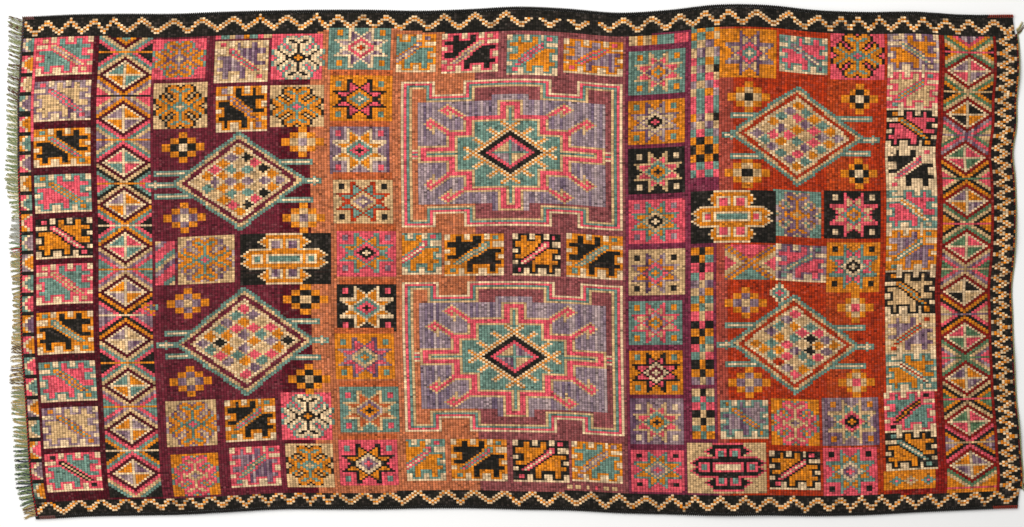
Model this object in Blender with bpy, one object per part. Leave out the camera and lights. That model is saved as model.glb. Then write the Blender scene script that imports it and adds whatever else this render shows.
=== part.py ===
"""A long knotted wool rug that lies flat on a floor.

The woven body is one slab with the uneven outline of a rug made by hand.
An overcast cord runs along each long edge.  A twined cord with the fringe
closes the left end, and a narrow plait with a tuft near each corner closes
the right end.

Metres, +Z up.  +X runs along the length, from the fringe to the plait, and
+Y across the width, from the near long edge to the far one.
"""

import math
import random
from collections import namedtuple

import bmesh
import bpy
from mathutils import Vector

# Driving dimensions of the woven body, between the straight lines that its edges wander about
BODY_LENGTH = 3.018
BODY_WIDTH = 1.510
BODY_THICKNESS = 0.008
CELLS_ALONG = 40
CELLS_ACROSS = 20

# Clearance between pieces that touch on the real rug
SEAM_GAP = 0.0003

# The overcast cord along each long edge
SELVEDGE_RADIUS = 0.0045
SELVEDGE_BEVEL_RESOLUTION = 2

# The twined cord at the left end, its inset from each corner as a share of the width,
# and the fringe that grows from it
TWINE_WIDTH = 0.006
TWINE_HEIGHT = 0.006
TWINE_SLOPE = 0.0012
TWINE_INSET = 0.0008
STRAND_COUNT = 200
STRAND_SHARE = 0.62
STRAND_HEIGHT = 0.0042
STRAND_TIP_HEIGHT = 0.0026
STRAND_MIDDLE = 0.45
STRAND_TOP_SHARE = 0.62
STRAND_SWAY = 0.0011
STRAND_LENGTH_SPREAD = 0.09
STRAND_SEED = 11

# The plait at the right end: where it starts and stops across the width, as shares
PLAIT_WIDTH = 0.0105
PLAIT_HEIGHT = 0.0078
PLAIT_SLOPE = 0.0025
PLAIT_START = 0.036
PLAIT_END = 0.968
TUFT_PITCH = 0.0062
TUFT_STRAND_SHARE = 0.6

# Faces that meet flatter than this are joined, so flat stretches stay coarse
FLAT_ANGLE = math.radians(0.02)

# How far the long edges stand out from their straight lines, in millimetres,
# in even steps from the fringe end to the plait end
LongEdges = namedtuple("LongEdges", "far near")
LONG_EDGES = [LongEdges(*row) for row in (
    (-18, 21),
    (-11, 13),
    (-9, 10),
    (-9, 7),
    (-3, -1),
    (1, -9),
    (3, -9),
    (3, -9),
    (0, -12),
    (5, -12),
    (12, -8),
    (6, -5),
    (-6, 3),
    (2, 7),
    (18, 11),
    (17, 10),
    (2, 12),
    (-4, 9),
    (-3, 1),
    (-12, -6),
    (-12, -12),
)]

# How far the end edges stand out from their straight lines, in millimetres,
# in even steps from the far edge to the near edge
EndEdges = namedtuple("EndEdges", "left right")
END_EDGES = [EndEdges(*row) for row in (
    (-4, -3),
    (2, 8),
    (7, 9),
    (12, 2),
    (12, 1),
    (12, -11),
    (10, -3),
    (7, 0),
    (5, -2),
    (4, -6),
    (4, -14),
    (3, -11),
    (0, -9),
    (-6, -5),
    (-12, 0),
    (-17, 8),
    (-22, 14),
    (-30, 21),
    (-44, 12),
)]

# Places where the edge of the rug doesn't lie quite down: centre and reach as
# shares of the length and of the width, and the height in millimetres
Ripple = namedtuple("Ripple", "along across reach_along reach_across height")
RIPPLES = [Ripple(*row) for row in (
    (1.00, 0.12, 0.06, 0.07, 6),
    (1.00, 0.29, 0.05, 0.07, 4),
    (1.00, 0.45, 0.06, 0.08, 6),
    (1.00, 0.71, 0.05, 0.08, 5),
    (1.00, 0.86, 0.06, 0.07, 6),
    (0.50, 0.00, 0.07, 0.14, 5),
    (0.72, 0.00, 0.08, 0.16, 6),
    (0.72, 1.00, 0.08, 0.12, 4),
    (0.20, 1.00, 0.08, 0.12, 3),
)]

# The fringe, in even steps from the far edge to the near edge: how long the
# strands are and how far their tips lean towards the far edge, in millimetres,
# and how thick they are beside a full strand
FringeStep = namedtuple("FringeStep", "length lean fullness")
FRINGE = [FringeStep(*row) for row in (
    (33, 12, 1.0),
    (34, 8, 0.9),
    (36, 9, 1.0),
    (34, 10, 1.0),
    (35, 8, 1.0),
    (36, 6, 1.0),
    (38, 5, 1.0),
    (31, 3, 0.6),
    (33, 0, 1.0),
    (30, -2, 1.0),
    (25, 0, 0.9),
    (25, 2, 0.9),
    (32, 1, 1.0),
    (40, 1, 1.0),
    (38, 3, 1.0),
    (40, 8, 1.0),
    (38, 2, 0.8),
    (41, 1, 0.8),
    (35, -12, 0.7),
)]

# The loose ends of the plait's tufts: reach outwards and towards the far edge,
# in millimetres, a row for each strand from the far one to the near one
TuftStrand = namedtuple("TuftStrand", "out far")
FAR_TUFT = [TuftStrand(*row) for row in (
    (17, 23),
    (20, 25),
    (22, 22),
    (21, 19),
)]
NEAR_TUFT = [TuftStrand(*row) for row in (
    (11, -14),
    (13, -12),
    (11, -9),
)]


def clear_scene():
    """Remove whatever the scene holds."""
    for item in list(bpy.data.objects):
        bpy.data.objects.remove(item, do_unlink=True)


def make_material(name, colour, roughness):
    """A plain wool material."""
    material = bpy.data.materials.new(name)
    material.use_nodes = True
    shader = material.node_tree.nodes["Principled BSDF"]
    shader.inputs["Base Color"].default_value = (*colour, 1.0)
    shader.inputs["Roughness"].default_value = roughness
    shader.inputs["Metallic"].default_value = 0.0
    return material


def smooth_value(values, share):
    """Value at a share from 0 to 1 on a smooth curve through evenly spaced values."""
    place = share * (len(values) - 1)
    step = min(int(place), len(values) - 2)
    t = place - step
    start = values[step]
    end = values[step + 1]
    before = values[max(step - 1, 0)]
    after = values[min(step + 2, len(values) - 1)]
    linear = end - before
    square = 2 * before - 5 * start + 4 * end - after
    cube = 3 * (start - end) + after - before
    return start + 0.5 * t * (linear + t * (square + t * cube))


def table_value(table, column, share):
    """Value of one column of a table of even steps, at a share of the way along it."""
    return smooth_value([getattr(row, column) for row in table], share)


def lift(along, across):
    """Height of the underside over the floor, in metres."""
    height = 0.0
    for ripple in RIPPLES:
        off_along = (along - ripple.along) / ripple.reach_along
        off_across = (across - ripple.across) / ripple.reach_across
        inside = 1 - off_along ** 2 - off_across ** 2
        if inside > 0:
            height += ripple.height / 1000 * inside ** 2
    return height


def body_point(along, across):
    """Underside of the woven body at a share of its length and of its width."""
    far = table_value(LONG_EDGES, "far", along) / 1000
    near = table_value(LONG_EDGES, "near", along) / 1000
    left = table_value(END_EDGES, "left", across) / 1000
    right = table_value(END_EDGES, "right", across) / 1000
    x = (along - 0.5) * BODY_LENGTH - left * (1 - along) + right * along
    y = (0.5 - across) * BODY_WIDTH + far * (1 - across) - near * across
    return Vector((x, y, lift(along, across)))


def outward_normals(points, turn):
    """Level normals of a line at each of its points; turn is 1 or -1 for the side."""
    headings = [(after - before).normalized() for before, after in zip(points, points[1:])]
    normals = []
    for index in range(len(points)):
        heading = headings[max(index - 1, 0)] + headings[min(index, len(headings) - 1)]
        normals.append(Vector((-heading.y, heading.x, 0)).normalized() * turn)
    return normals


def end_edge(along, turn):
    """Points and outward normals of one end of the body, at its cells' corners."""
    shares = [index / CELLS_ACROSS for index in range(CELLS_ACROSS + 1)]
    points = [body_point(along, across) for across in shares]
    return points, outward_normals(points, turn)


def on_edge(edge, across):
    """Point and outward normal on the straight stretch between two cells' corners."""
    points, normals = edge
    place = min(max(across, 0.0), 1.0) * CELLS_ACROSS
    cell = min(int(place), CELLS_ACROSS - 1)
    share = place - cell
    point = points[cell].lerp(points[cell + 1], share)
    normal = normals[cell].lerp(normals[cell + 1], share).normalized()
    return point, normal


def add_object(name, data, material, parent):
    """Link mesh or curve data as a named object with its material."""
    item = bpy.data.objects.new(name, data)
    item.data.materials.append(material)
    item.parent = parent
    bpy.context.scene.collection.objects.link(item)
    return item


def mesh_from(name, shape):
    """Turn a finished bmesh into mesh data with its faces pointing out."""
    bmesh.ops.recalc_face_normals(shape, faces=shape.faces[:])
    mesh = bpy.data.meshes.new(name)
    shape.to_mesh(mesh)
    shape.free()
    return mesh


def join_flat_faces(shape, vertices, edges):
    """Join faces that lie in one plane across these edges, and drop what they leave."""
    bmesh.ops.dissolve_limit(
        shape, angle_limit=FLAT_ANGLE, verts=vertices, edges=edges)


def raised_vertices(shape):
    """Extrude every face and return the vertices of the new top."""
    made = bmesh.ops.extrude_face_region(shape, geom=shape.faces[:])
    return [item for item in made["geom"] if isinstance(item, bmesh.types.BMVert)]


def build_body(parent):
    """The woven body: a grid laid on the outline, raised to the cloth's thickness."""
    shape = bmesh.new()
    bmesh.ops.create_grid(
        shape, x_segments=CELLS_ALONG, y_segments=CELLS_ACROSS, size=0.5)
    for vertex in shape.verts:
        vertex.co = body_point(vertex.co.x + 0.5, 0.5 - vertex.co.y)
    top = raised_vertices(shape)
    bmesh.ops.translate(shape, verts=top, vec=(0, 0, BODY_THICKNESS))
    join_flat_faces(shape, shape.verts[:], shape.edges[:])
    wool = make_material("knotted_wool", (0.107, 0.017, 0.040), 0.95)
    return add_object("rug_body", mesh_from("rug_body", shape), wool, parent)


def selvedge_route(across, turn):
    """Centre line of a long edge's cord, past the left end by the twined cord's width."""
    shares = [index / CELLS_ALONG for index in range(CELLS_ALONG + 1)]
    edge = [body_point(along, across) for along in shares]
    past_end = (edge[0] - edge[1]).normalized() * (TWINE_WIDTH + SEAM_GAP)
    edge.insert(0, edge[0] + past_end)
    reach = SEAM_GAP + SELVEDGE_RADIUS
    raise_by = Vector((0, 0, SELVEDGE_RADIUS))
    normals = outward_normals(edge, turn)
    return [point + normal * reach + raise_by for point, normal in zip(edge, normals)]


def build_selvedge(name, across, turn, material, parent):
    """The overcast cord along one long edge."""
    curve = bpy.data.curves.new(name, "CURVE")
    curve.dimensions = "3D"
    curve.bevel_depth = SELVEDGE_RADIUS
    curve.bevel_resolution = SELVEDGE_BEVEL_RESOLUTION
    curve.use_fill_caps = True
    route = selvedge_route(across, turn)
    spline = curve.splines.new("POLY")
    spline.points.add(len(route) - 1)
    for point, place in zip(spline.points, route):
        point.co = (*place, 1.0)
    spline.use_smooth = True
    return add_object(name, curve, material, parent)


def edge_strip(edge, shares, width, height, slope):
    """A closed strip beside an end edge, with a column between each two shares.

    Returns the bmesh, and the outer wall's faces by the column that they close.
    """
    shape = bmesh.new()
    row_layer = shape.verts.layers.int.new("row")
    outer_layer = shape.verts.layers.int.new("outer")
    columns = len(shares) - 1
    bmesh.ops.create_grid(shape, x_segments=1, y_segments=columns, size=0.5)
    for vertex in shape.verts:
        row = round((0.5 - vertex.co.y) * columns)
        outer = vertex.co.x > 0
        point, normal = on_edge(edge, shares[row])
        vertex[row_layer] = row
        vertex[outer_layer] = int(outer)
        vertex.co = point + normal * (SEAM_GAP + (width if outer else 0))
    for vertex in raised_vertices(shape):
        _, normal = on_edge(edge, shares[vertex[row_layer]])
        vertex.co.z += height
        if vertex[outer_layer]:
            vertex.co -= normal * slope
    inner = [vertex for vertex in shape.verts if not vertex[outer_layer]]
    inner_edges = {line for vertex in inner for line in vertex.link_edges}
    join_flat_faces(shape, inner, list(inner_edges))
    walls = {}
    for face in shape.faces:
        rows = {vertex[row_layer] for vertex in face.verts}
        if len(rows) == 2 and all(vertex[outer_layer] for vertex in face.verts):
            walls[min(rows)] = face
    return shape, walls


def grow_strand(shape, root, stages):
    """Extrude a strand from a wall face, a stage at a time.

    Each stage is the strand's middle on the floor, half its width as a
    vector towards the near edge, and its height there.
    """
    face = root
    for middle, half_width, height in stages:
        face = bmesh.ops.extrude_discrete_faces(shape, faces=[face])["faces"][0]
        centre = face.calc_center_median()
        for vertex in face.verts:
            side = 1 if (vertex.co - centre).dot(half_width) > 0 else -1
            upper = vertex.co.z > centre.z
            reach = side * (STRAND_TOP_SHARE if upper else 1.0)
            vertex.co = middle + half_width * reach
            vertex.co.z = height if upper else 0.0


def fringe_shares():
    """Where the twined cord's columns meet, and the strand that each column carries."""
    shares = {index / CELLS_ACROSS: None for index in range(1, CELLS_ACROSS)}
    shares.update({TWINE_INSET: None, 1 - TWINE_INSET: None})
    margin = (1 - STRAND_SHARE) / 2
    for strand in range(STRAND_COUNT):
        shares[(strand + margin) / STRAND_COUNT] = strand
        shares[(strand + 1 - margin) / STRAND_COUNT] = None
    ordered = sorted(shares)
    strands = {row: shares[share] for row, share in enumerate(ordered)}
    return ordered, strands


def strand_stages(edge, across, chance):
    """Stages of one fringe strand, from its root out to its tip."""
    point, normal = on_edge(edge, across)
    root = point + normal * (SEAM_GAP + TWINE_WIDTH)
    root.z = 0.0
    sideways = Vector((-normal.y, normal.x, 0))
    length = table_value(FRINGE, "length", across) / 1000
    length *= 1 + chance.uniform(-STRAND_LENGTH_SPREAD, STRAND_LENGTH_SPREAD)
    lean = table_value(FRINGE, "lean", across) / 1000
    fullness = table_value(FRINGE, "fullness", across)
    half_root = BODY_WIDTH / STRAND_COUNT * STRAND_SHARE / 2 * fullness
    to_far = Vector((0, 1, 0))
    stages = []
    for share, height in ((STRAND_MIDDLE, STRAND_HEIGHT), (1.0, STRAND_TIP_HEIGHT)):
        sway = chance.uniform(-STRAND_SWAY, STRAND_SWAY)
        middle = root + normal * length * share + to_far * (lean * share ** 1.5 + sway * share)
        taper = 1.0 - 0.35 * share
        stages.append((middle, sideways * half_root * taper, height * fullness))
    return stages


def build_fringe(parent):
    """The twined cord at the left end, with the fringe's strands fused to it."""
    edge = end_edge(0.0, -1)
    shares, strands = fringe_shares()
    shape, walls = edge_strip(edge, shares, TWINE_WIDTH, TWINE_HEIGHT, TWINE_SLOPE)
    chance = random.Random(STRAND_SEED)
    for row, strand in strands.items():
        if strand is None:
            continue
        across = (strand + 0.5) / STRAND_COUNT
        grow_strand(shape, walls[row], strand_stages(edge, across, chance))
    yarn = make_material("fringe_yarn", (0.32, 0.30, 0.16), 0.95)
    return add_object("fringe_left", mesh_from("fringe_left", shape), yarn, parent)


def tuft_stages(edge, across, reach):
    """Stages of one loose end of the plait, curving towards its own corner."""
    point, normal = on_edge(edge, across)
    root = point + normal * (SEAM_GAP + PLAIT_WIDTH)
    root.z = 0.0
    to_far = Vector((0, 1, 0))
    stages = []
    for share, height in ((STRAND_MIDDLE, STRAND_HEIGHT), (1.0, STRAND_TIP_HEIGHT)):
        out = normal * reach.out / 1000 * share
        along_edge = to_far * reach.far / 1000 * share ** 1.6
        half_width = TUFT_PITCH * TUFT_STRAND_SHARE / 2 * (1.0 - 0.4 * share)
        heading = (out + along_edge).normalized()
        sideways = Vector((heading.y, -heading.x, 0))
        stages.append((root + out + along_edge, sideways * half_width, height))
    return stages


def tuft_shares(start, count, step):
    """Shares where a tuft's strands begin and end, from one end of the plait."""
    margin = (1 - TUFT_STRAND_SHARE) / 2
    pitch = step * TUFT_PITCH / BODY_WIDTH
    begins = [start + (index + margin) * pitch for index in range(count)]
    ends = [start + (index + 1 - margin) * pitch for index in range(count)]
    return [tuple(sorted(pair)) for pair in zip(begins, ends)]


def build_plait(parent):
    """The plait at the right end, with a small tuft near each corner."""
    edge = end_edge(1.0, 1)
    far_pairs = tuft_shares(PLAIT_START, len(FAR_TUFT), 1)
    near_pairs = tuft_shares(PLAIT_END, len(NEAR_TUFT), -1)
    pairs = list(zip(far_pairs, FAR_TUFT)) + list(zip(near_pairs, NEAR_TUFT))
    shares = {PLAIT_START, PLAIT_END}
    for index in range(1, CELLS_ACROSS):
        if PLAIT_START < index / CELLS_ACROSS < PLAIT_END:
            shares.add(index / CELLS_ACROSS)
    for pair, _ in pairs:
        shares.update(pair)
    ordered = sorted(shares)
    shape, walls = edge_strip(edge, ordered, PLAIT_WIDTH, PLAIT_HEIGHT, PLAIT_SLOPE)
    for (begin, end), reach in pairs:
        stages = tuft_stages(edge, (begin + end) / 2, reach)
        grow_strand(shape, walls[ordered.index(begin)], stages)
    wool = make_material("plaited_wool", (0.30, 0.24, 0.10), 0.95)
    return add_object("end_plait_right", mesh_from("end_plait_right", shape), wool, parent)


def corners(items):
    """Lowest and highest coordinates of a list of objects, as they are drawn."""
    bpy.context.view_layer.update()
    depsgraph = bpy.context.evaluated_depsgraph_get()
    places = []
    for item in items:
        drawn = item.evaluated_get(depsgraph)
        mesh = drawn.to_mesh()
        places.extend(drawn.matrix_world @ vertex.co for vertex in mesh.vertices)
        drawn.to_mesh_clear()
    lowest = Vector([min(place[axis] for place in places) for axis in range(3)])
    highest = Vector([max(place[axis] for place in places) for axis in range(3)])
    return lowest, highest


def main():
    clear_scene()
    frame = bpy.data.objects.new("rug_frame", None)
    bpy.context.scene.collection.objects.link(frame)
    cord_wool = make_material("overcast_wool", (0.012, 0.011, 0.008), 0.95)
    items = [
        build_body(frame),
        build_selvedge("selvedge_far", 0.0, 1, cord_wool, frame),
        build_selvedge("selvedge_near", 1.0, -1, cord_wool, frame),
        build_fringe(frame),
        build_plait(frame),
    ]
    lowest, highest = corners(items)
    centre = (lowest + highest) / 2
    frame.location = (-centre.x, -centre.y, -lowest.z)
    print("overall size in metres:", [round(value, 4) for value in highest - lowest])


main()
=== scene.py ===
# %% [markdown]
# The frame and the size of the solids
#
# The rug's solids were made first, and this lesson dresses them: it leaves
# them where they are and builds the knots, yarns and cords that the eye sees.
# The first cell loads the solids and measures them.

# %% Load the solids
import math
import random
from collections import namedtuple

import bmesh
import bpy
import numpy as np
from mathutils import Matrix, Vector


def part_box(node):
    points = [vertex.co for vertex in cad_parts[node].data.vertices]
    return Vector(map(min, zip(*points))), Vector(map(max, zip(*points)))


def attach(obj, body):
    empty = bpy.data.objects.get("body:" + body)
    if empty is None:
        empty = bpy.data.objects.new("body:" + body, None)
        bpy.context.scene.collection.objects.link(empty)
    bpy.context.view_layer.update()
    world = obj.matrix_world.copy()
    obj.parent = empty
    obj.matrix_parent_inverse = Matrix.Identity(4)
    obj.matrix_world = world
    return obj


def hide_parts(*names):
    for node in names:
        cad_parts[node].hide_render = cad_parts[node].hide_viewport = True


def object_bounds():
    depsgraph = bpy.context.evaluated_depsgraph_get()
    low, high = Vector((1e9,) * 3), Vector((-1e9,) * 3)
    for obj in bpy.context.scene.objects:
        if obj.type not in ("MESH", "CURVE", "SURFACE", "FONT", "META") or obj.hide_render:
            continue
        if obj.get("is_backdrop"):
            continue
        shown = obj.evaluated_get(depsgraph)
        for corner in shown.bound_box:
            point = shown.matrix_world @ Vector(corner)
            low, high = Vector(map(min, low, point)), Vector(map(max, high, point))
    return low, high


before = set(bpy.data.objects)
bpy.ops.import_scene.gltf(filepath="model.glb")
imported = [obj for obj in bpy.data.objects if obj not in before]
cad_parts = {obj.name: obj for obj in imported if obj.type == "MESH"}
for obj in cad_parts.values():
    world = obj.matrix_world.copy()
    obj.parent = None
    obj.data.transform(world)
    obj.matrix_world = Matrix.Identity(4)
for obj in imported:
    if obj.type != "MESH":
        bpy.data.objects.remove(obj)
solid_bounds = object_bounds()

print("solids:", sorted(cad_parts))

# %% [markdown]
# Colours of the wool
#
# The wool was dyed in small lots, so each colour is a little faded and warm.
# The colours are written as the usual hex values, and one function turns them
# into the linear values that a shader works in.
# Each has a letter, because a weaver's chart is easiest to read in letters.

# %% The dyed wools and their letters
DYES = {
    "k": "#c74953",  # pink
    "t": "#5d7769",  # teal
    "o": "#c06f12",  # orange
    "p": "#624357",  # lavender
    "l": "#6c5869",  # bluer lavender inside the medallions
    "b": "#b89467",  # beige
    "c": "#c9aa83",  # cream
    "x": "#191610",  # black
    "m": "#5c1a25",  # maroon of the fringe half
    "n": "#480713",  # darker lot of the same maroon
    "d": "#420712",  # dark maroon lines
    "s": "#a85e3a",  # terracotta
    "z": "#a85128",  # brighter terracotta between the stars
    "v": "#7d403f",  # brownish mauve
    "q": "#682336",  # plum
    "y": "#943d2e",  # faded strip between plum and rust
    "r": "#9b2b08",  # rust of the plaited half
    "u": "#a23910",  # lighter lot of the same rust
    "e": "#741108",  # dark red lines
    "g": "#506a49",  # green
    "h": "#96603c",  # mauve brown of the cords' ends
}
LETTERS = "".join(DYES)


def linear(hex_value):
    """Linear red, green and blue of a hex colour."""
    parts = [int(hex_value[place:place + 2], 16) / 255 for place in (1, 3, 5)]
    return [part / 12.92 if part <= 0.04045 else ((part + 0.055) / 1.055) ** 2.4 for part in parts]


print(len(DYES), "dyes, pink is", [round(part, 3) for part in linear(DYES["k"])])

# %% [markdown]
# The outline of the cloth
#
# A rug knotted by hand is never quite straight. Its outline is two short tables
# that say how far each edge wanders from a straight line, in millimetres,
# the same ones that shaped the solids. A curve through each table gives the
# edge at any place, and a point inside the rug is a blend of its four edges. The
# wander of an end dies out inside the rug, where the rows lie straight.
# Numpy works on all the knots at once, where a loop would take minutes.

# %% The edges and the cloth's surface
BODY_LENGTH = 3.018
BODY_WIDTH = 1.510
SEAM_GAP = 0.0003

LongEdges = namedtuple("LongEdges", "far near")
LONG_EDGES = [LongEdges(*row) for row in (
    (-18, 21), (-11, 13), (-9, 10), (-9, 7), (-3, -1), (1, -9), (3, -9),
    (3, -9), (0, -12), (5, -12), (12, -8), (6, -5), (-6, 3), (2, 7),
    (18, 11), (17, 10), (2, 12), (-4, 9), (-3, 1), (-12, -6), (-12, -12),
)]
EndEdges = namedtuple("EndEdges", "left right")
END_EDGES = [EndEdges(*row) for row in (
    (-4, -3), (2, 8), (7, 9), (12, 2), (12, 1), (12, -11), (10, -3),
    (7, 0), (5, -2), (4, -6), (4, -14), (3, -11), (0, -9), (-6, -5),
    (-12, 0), (-17, 8), (-22, 14), (-30, 21), (-44, 12),
)]
Ripple = namedtuple("Ripple", "along across reach_along reach_across height")
LEFT_FADE = 1.6
RIGHT_FADE = 7
RIPPLES = [Ripple(*row) for row in (
    (1.00, 0.12, 0.06, 0.07, 6),
    (1.00, 0.29, 0.05, 0.07, 4),
    (1.00, 0.45, 0.06, 0.08, 6),
    (1.00, 0.71, 0.05, 0.08, 5),
    (1.00, 0.86, 0.06, 0.07, 6),
    (0.50, 0.00, 0.07, 0.14, 5),
    (0.72, 0.00, 0.08, 0.16, 6),
    (0.72, 1.00, 0.08, 0.12, 4),
    (0.20, 1.00, 0.08, 0.12, 3),
)]


def smooth_value(values, share):
    """Values at shares from 0 to 1 on a smooth curve through evenly spaced values."""
    values = np.array(values, float)
    place = np.asarray(share, float) * (len(values) - 1)
    step = np.clip(place.astype(int), 0, len(values) - 2)
    t = place - step
    start = values[step]
    end = values[step + 1]
    before = values[np.maximum(step - 1, 0)]
    after = values[np.minimum(step + 2, len(values) - 1)]
    square = 2 * before - 5 * start + 4 * end - after
    cube = 3 * (start - end) + after - before
    return start + 0.5 * t * (end - before + t * (square + t * cube))


def column(table, name):
    """One named column of a table."""
    return [getattr(row, name) for row in table]


def lift(along, across):
    """Height of the cloth's underside over the floor."""
    height = np.zeros(np.shape(along))
    for ripple in RIPPLES:
        off_along = (along - ripple.along) / ripple.reach_along
        off_across = (across - ripple.across) / ripple.reach_across
        inside = np.clip(1 - off_along ** 2 - off_across ** 2, 0, None)
        height += ripple.height / 1000 * inside ** 2
    return height


def cloth_point(along, across):
    """Underside of the cloth at shares of its length and width, before it is centred."""
    along, across = np.broadcast_arrays(np.asarray(along, float), np.asarray(across, float))
    far = smooth_value(column(LONG_EDGES, "far"), along) / 1000
    near = smooth_value(column(LONG_EDGES, "near"), along) / 1000
    left = smooth_value(column(END_EDGES, "left"), across) / 1000
    right = smooth_value(column(END_EDGES, "right"), across) / 1000
    x = (along - 0.5) * BODY_LENGTH - left * (1 - along) ** LEFT_FADE + right * along ** RIGHT_FADE
    y = (0.5 - across) * BODY_WIDTH + far * (1 - across) - near * across
    return np.stack([x, y, lift(along, across)], axis=-1)


# %% Move the outline to where the solids lie
# The solids are centred on the floor, so the outline is moved by the same step.
steps = np.linspace(0, 1, 41)
cells = np.linspace(0, 1, 21)
corners = cloth_point(steps[:, None], cells[None, :]).reshape(-1, 3)
body_low, body_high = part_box("rug_body")
SHIFT = np.array([
    (body_low.x + body_high.x - corners[:, 0].min() - corners[:, 0].max()) / 2,
    (body_low.y + body_high.y - corners[:, 1].min() - corners[:, 1].max()) / 2,
    0.0,
])


def rug_point(along, across):
    """Underside of the cloth where the solids lie."""
    return cloth_point(along, across) + SHIFT


print("shift in mm:", (SHIFT * 1000).round(1), "body in mm:", ((body_high - body_low) * 1000)[:])

# %% [markdown]
# The plan of the knots
#
# A knotted pattern is a grid: one knot, one colour. This rug has about 350 rows
# of knots along its length and 260 knots in a row, so each knot is about 9 mm
# by 6 mm. The plan is an array with a number for the wool of each knot. It
# could be painted as a picture, but a weaver works from counted charts and
# rules, and so does this: the plan is filled in boxes, and a motif is a small
# chart of letters that is laid into its box. Rows count from the fringe, and
# knots from the far edge.

# %% The plan and its brushes
ROWS = 350
KNOTS = 260
plan = np.zeros((ROWS, KNOTS), np.uint8)
row_of, knot_of = np.meshgrid(np.arange(ROWS), np.arange(KNOTS), indexing="ij")


def span(first, end, limit):
    """A slice from one place to another, kept inside the plan."""
    return slice(max(0, round(first)), max(0, min(limit, round(end))))


def fill(rows, knots, letter):
    """Fill a box of the plan with one wool."""
    plan[span(*rows, ROWS), span(*knots, KNOTS)] = LETTERS.index(letter)


def paint(where, letter):
    """Fill the marked knots with one wool."""
    plan[where] = LETTERS.index(letter)


def chart(text):
    """Rows of letters, as a weaver reads them, turned into an array by row and knot."""
    return np.array([list(line) for line in text.split()]).T


def fitted(art, rows, knots):
    """A chart with rows and knots left out or doubled, so that it fills a box."""
    across = ((np.arange(rows) + 0.5) * art.shape[0] / rows).astype(int)
    down = ((np.arange(knots) + 0.5) * art.shape[1] / knots).astype(int)
    return art[across][:, down]


def lay(art, rows, knots, parts, wools, flip=False):
    """Lay a chart into a box; each of the chart's parts gets the wool in the same place."""
    box = plan[span(*rows, ROWS), span(*knots, KNOTS)]
    sized = fitted(art[::-1] if flip else art, *box.shape)
    for part, wool in zip(parts, wools):
        box[sized == part] = LETTERS.index(wool)


def odd(first, end):
    """The largest odd number of rows or knots in a span, so that a motif keeps its middle."""
    count = int(end - first + 0.5)
    count -= 1 - count % 2
    start = math.floor((first + end - count) / 2 + 0.5)
    return start, start + count


def centred(half_rows, half_knots):
    """Distances from the middle of a motif, by row and knot."""
    across, down = np.meshgrid(
        np.arange(-half_rows, half_rows + 1), np.arange(-half_knots, half_knots + 1), indexing="ij")
    return across, down


def zigzag(place, peaks, reach):
    """A line that goes up to each peak and down again halfway to the next."""
    peaks = np.array(peaks, float)
    turns = np.sort(np.concatenate([peaks, (peaks[1:] + peaks[:-1]) / 2]))
    heights = np.where(np.arange(len(turns)) % 2 == 0, -reach, reach)
    return np.interp(place, turns, heights)


print("plan of", plan.size, "knots")

# %% [markdown]
# Places between the wandering ends
#
# The place of a motif was read as a share of the way from one end of the
# rug to the other. The ends wander, but the rows lie straight inside the rug.
# So a place is moved by that part of the wander which dies out there.

# %% From a place between the ends to a row of the plan
ROW_STEP = 8.62


def plan_row(place, knot):
    """The straight row, to a tenth, at a place read between the two ends."""
    along = min(max(place / ROWS, 0), 1)
    shares = np.linspace(0, 1, len(END_EDGES))
    left = float(np.interp(knot / KNOTS, shares, column(END_EDGES, "left")))
    right = float(np.interp(knot / KNOTS, shares, column(END_EDGES, "right")))
    step = right * (along - along ** RIGHT_FADE) - left * ((1 - along) - (1 - along) ** LEFT_FADE)
    return round(place + step / ROW_STEP, 1)


def plan_box(first, end, knot, last):
    """A box's rows and knots, with its two places moved at its middle knot."""
    middle = (knot + last) / 2
    return plan_row(first, middle), plan_row(end, middle), knot, last


print("place 171 at the far edge is row", plan_row(171, 0))

# %% [markdown]
# The ground colours
#
# The ground between the motifs changes colour along the rug, because the weaver
# went on with another lot of wool. A few boxes across the whole width give it.

# %% Ground from the fringe end to the plaited end
Ground = namedtuple("Ground", "first end wool")
GROUNDS = [Ground(*row) for row in (
    (0, 46, "d"),
    (46, 91, "m"),
    (91, 102, "n"),
    (102, 160, "s"),
    (160, 213, "v"),
    (213, 245, "q"),
    (245, 249, "y"),
    (249, 284, "r"),
    (284, 294, "u"),
    (294, 305, "r"),
    (305, 343, "e"),
    (343, 350, "x"),
)]
for ground in GROUNDS:
    fill((ground.first, ground.end), (0, KNOTS), ground.wool)
fill((245, 246), (0, 94), "q")
fill((246, 251), (0, 94), "y")
print(len(GROUNDS), "grounds")

# %% [markdown]
# Combs
#
# The comb is the commonest box: a slanting bar of two wools between two toothed
# figures, on a light ground of small squares. It is charted once, and
# laid in many colours, also mirrored.

# %% Chart of the comb and its columns
COMB = chart("""
ooooowwoooowwoooooww
ooaaowwoffowwoffooww
ooaaowwoffowwoffooww
ooooooooffooooffoooo
wwwwobbofffffffffffo
wwwwobdboffffffffffo
oooooobdboffffffoooo
offfffobdbofffffooww
offffffobdboffffooww
ooofffffobdbofffoooo
wwoffffffobdbofffffo
wwofffffffobdboffffo
oooffffffffobdbooooo
offfffffffffobdbooww
offfffffffffoobdboww
oooffoooooffoooooooo
wwoffowwwoffowwoaaoo
wwoffowwwoffowwoaaoo
wwoooowwwoooowwooooo
wwwwwwwwwwwwwwwwwwww
""")


def lay_comb(rows, knots, wools, flip=False, first=0):
    """Outline, figure, bar and its checks; the small squares take the bar's wool."""
    art = (COMB[::-1] if flip else COMB)[first:]
    lay(art, rows, knots, "ofbdaw", wools + wools[2] + "c")


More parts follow.
